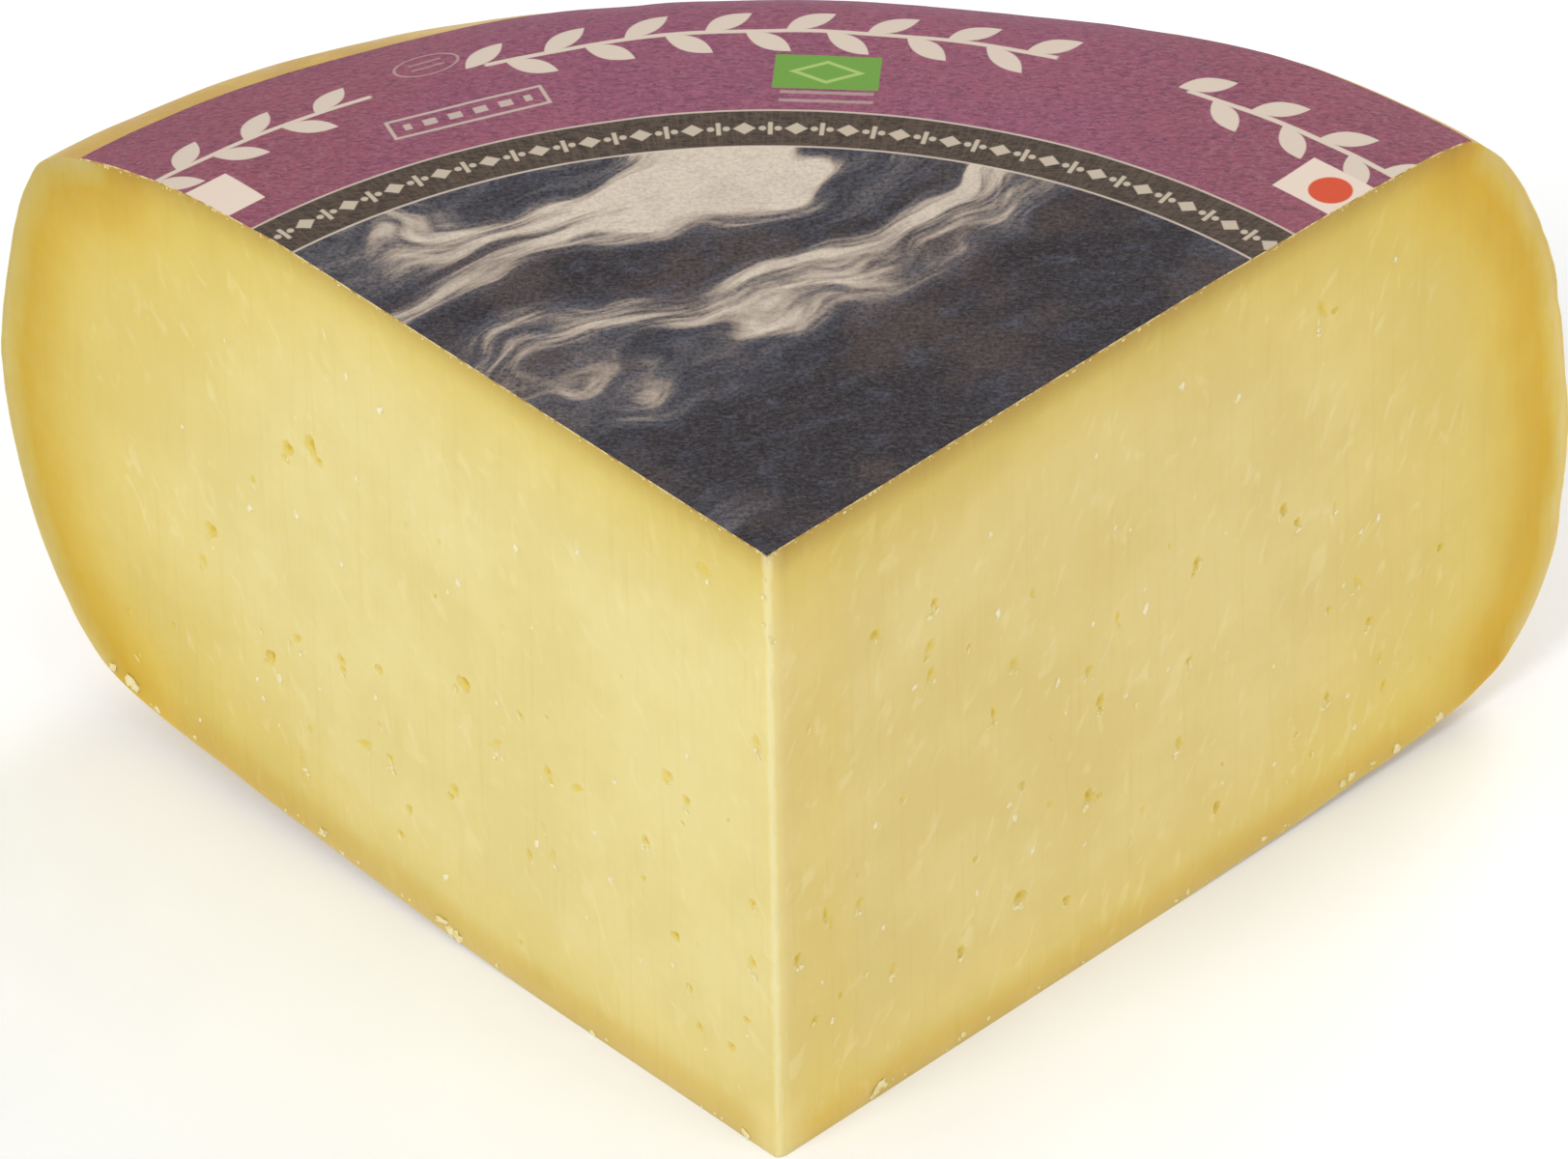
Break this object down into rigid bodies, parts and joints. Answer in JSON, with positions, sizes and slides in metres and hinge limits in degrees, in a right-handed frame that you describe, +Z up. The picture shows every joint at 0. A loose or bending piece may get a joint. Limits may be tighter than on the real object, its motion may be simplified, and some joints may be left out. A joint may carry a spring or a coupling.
{
  "type": "quarter wheel of semi-hard cheese",
  "caption": "Quarter wedge of a round semi-hard cheese, pale yellow cut faces with small eyes, golden rounded rind and a round paper label draped over the top.",
  "frame": {"origin": "middle of the bounding box of the footprint, at the flat underside", "axes": "+Z up; +X to the right when the tip of the wedge faces the viewer; +Y from the tip towards the round rind at the back"},
  "size_m": [0.2033, 0.1411, 0.0987],
  "materials": {
    "cheese": "satin",
    "label_paper": "matte"
  },
  "bodies": {
    "root": {"cheese": "cheese", "top_label": "label_paper"}
  },
  "joints": []
}
